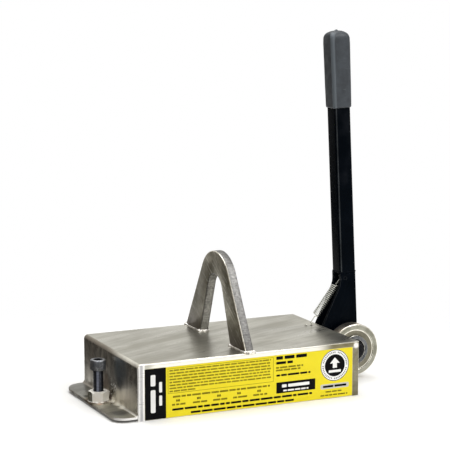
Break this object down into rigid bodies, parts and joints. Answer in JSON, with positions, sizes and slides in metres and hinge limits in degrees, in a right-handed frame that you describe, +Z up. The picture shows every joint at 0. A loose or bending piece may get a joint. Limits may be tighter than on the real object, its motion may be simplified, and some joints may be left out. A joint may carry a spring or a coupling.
{
  "type": "lifting magnet",
  "caption": "Permanent lifting magnet with a welded bail, a tall release lever that presses a ball-bearing roller against the load, and a jack screw at the other end.",
  "frame": {"origin": "centre of the pole face, the flat underside that grips the load", "axes": "+Z up towards the bail, +X along the housing towards the release lever, +Y across the housing away from the labelled side"},
  "size_m": [0.4371, 0.2035, 0.4999],
  "materials": {
    "stainless_sheet": "brushed, lightly scuffed",
    "bail_steel": "mill finish with ground edges",
    "weld_bead": "rippled bead",
    "label_vinyl": "printed vinyl",
    "spacer_wood": "sealed plywood",
    "pole_steel": "ground",
    "ferrite": "matt ceramic",
    "filler": "mill finish",
    "zinc_steel": "zinc plated",
    "black_oxide": "black oxide",
    "lever_paint": "gloss black",
    "grip_vinyl": "satin dipped vinyl",
    "bronze": "sintered",
    "bearing_steel": "ground and polished",
    "shield_steel": "pressed",
    "ball_steel": "polished",
    "cage_steel": "pressed"
  },
  "bodies": {
    "housing": {"housing_cover": "stainless_sheet", "side_plate_front": "stainless_sheet", "side_plate_back": "stainless_sheet", "end_plate": "stainless_sheet", "lifting_bail": "bail_steel", "bail_welds": "weld_bead", "front_label": "label_vinyl", "spacer_plate": "spacer_wood", "pole_bars": "pole_steel", "magnet_blocks": "ferrite", "filler_strips": "filler", "tie_rods": "zinc_steel", "tie_rod_nuts": "zinc_steel", "jack_nut": "bail_steel", "jack_nut_weld": "weld_bead", "pivot_lug_front": "bail_steel", "pivot_lug_back": "bail_steel", "lug_welds": "weld_bead", "pivot_bolt": "black_oxide", "return_spring": "zinc_steel"},
    "jack_screw": {"jack_screw": "black_oxide"},
    "lever": {"yoke_cheek_front": "lever_paint", "yoke_cheek_back": "lever_paint", "yoke_web": "lever_paint", "pivot_bushings": "bronze", "handle_tube": "lever_paint", "handle_weld": "lever_paint", "handle_grip": "grip_vinyl", "spring_anchor_pin": "lever_paint", "roller_bolt": "black_oxide", "roller_bolt_washer": "black_oxide", "roller_bushing": "black_oxide", "roller_spacer": "zinc_steel", "cheek_spacer": "zinc_steel", "roller_bolt_nut": "zinc_steel", "bearing_inner_ring": "bearing_steel"},
    "roller": {"bearing_outer_ring": "bearing_steel", "bearing_shields": "shield_steel"},
    "ball_set": {"bearing_balls": "ball_steel", "bearing_cage": "cage_steel"}
  },
  "joints": [
    {"name": "lever_pivot", "type": "hinge", "parent": "housing", "child": "lever", "pos_m": [0.18315, 0.018, 0.03038], "axis": [0, 1, 0], "range_deg": [0, 50], "deforming": ["return_spring"]},
    {"name": "roller_spin", "type": "hinge", "parent": "lever", "child": "roller", "pos_m": [0.2035, -0.0121, 0.0431], "axis": [0, 1, 0], "continuous": true},
    {"name": "ball_set_spin", "type": "hinge", "parent": "lever", "child": "ball_set", "pos_m": [0.2035, -0.0121, 0.0431], "axis": [0, 1, 0], "continuous": true},
    {"name": "jack_travel", "type": "slide", "parent": "housing", "child": "jack_screw", "axis": [0, 0, 1], "range_m": [-0.028, 0.005]}
  ],
  "couplings": [
    {"joint": "ball_set_spin", "follows": "roller_spin", "ratio": 0.6218}
  ]
}
